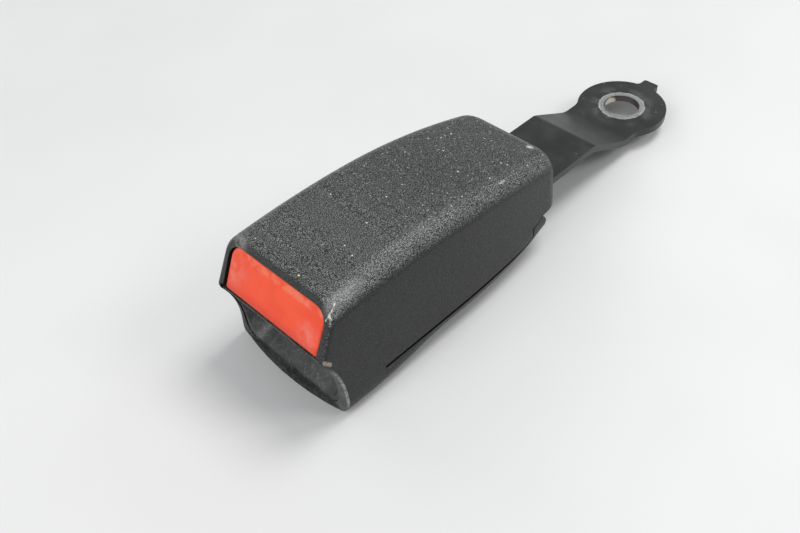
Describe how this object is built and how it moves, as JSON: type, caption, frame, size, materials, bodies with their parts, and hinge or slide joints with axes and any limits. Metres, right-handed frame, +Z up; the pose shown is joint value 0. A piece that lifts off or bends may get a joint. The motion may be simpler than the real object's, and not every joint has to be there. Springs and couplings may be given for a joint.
{
  "type": "seat belt buckle",
  "caption": "Seat belt buckle with end release button, tongue slot, sprung latch and ejector in a plastic housing, on a bent steel strap with an anchor hole.",
  "frame": {"origin": "centre of the anchor hole, half way through the strap's thickness", "axes": "+X runs from the tongue slot back to the anchor hole, +Z is up out of the strap's face on the button side of the housing, +Y completes the right-handed frame"},
  "size_m": [0.1836, 0.0464, 0.0423],
  "materials": {
    "black_housing_plastic": "fine-grained black moulded plastic",
    "black_guide_plastic": "smooth black moulded plastic",
    "red_button_plastic": "orange-red moulded plastic, slightly faded",
    "plated_steel": "zinc-plated stamped steel",
    "black_painted_steel": "satin black coated steel, bare around the hole",
    "spring_steel": "spring wire",
    "black_rubber": "soft black rubber"
  },
  "bodies": {
    "housing": {"upper_housing": "black_housing_plastic", "lower_cover": "black_housing_plastic", "tongue_guide": "black_guide_plastic", "buckle_frame": "plated_steel", "anchor_strap": "black_painted_steel", "frame_rivets": "plated_steel", "latch_pin": "plated_steel", "latch_spring": "spring_steel", "ejector_spring": "spring_steel", "button_spring_left": "spring_steel", "button_spring_right": "spring_steel", "spring_retainer": "black_guide_plastic", "mechanism_cover": "black_guide_plastic", "stop_pad": "black_rubber", "upper_strap_pad": "black_rubber", "lower_strap_pad": "black_rubber"},
    "button": {"release_button": "red_button_plastic"},
    "latch": {"latch": "plated_steel"},
    "ejector": {"ejector": "black_guide_plastic"}
  },
  "joints": [
    {"name": "button_slide", "type": "slide", "parent": "housing", "child": "button", "axis": [1, 0, 0], "range_m": [0, 0.0055], "stiffness_N_per_m": 1500, "springref_m": -0.004, "deforming": ["button_spring_left", "button_spring_right"]},
    {"name": "latch_hinge", "type": "hinge", "parent": "housing", "child": "latch", "pos_m": [-0.10235, 0, 0.01745], "axis": [0, 1, 0], "range_deg": [0, 9], "stiffness_Nm_per_rad": 0.08, "springref_deg": -11.46, "deforming": ["latch_spring"]},
    {"name": "ejector_slide", "type": "slide", "parent": "housing", "child": "ejector", "axis": [1, 0, 0], "range_m": [0, 0.008], "stiffness_N_per_m": 400, "springref_m": -0.006, "deforming": ["ejector_spring"]}
  ],
  "couplings": [
    {"joint": "latch_hinge", "follows": "button_slide", "rad_per_m": 28.559}
  ]
}
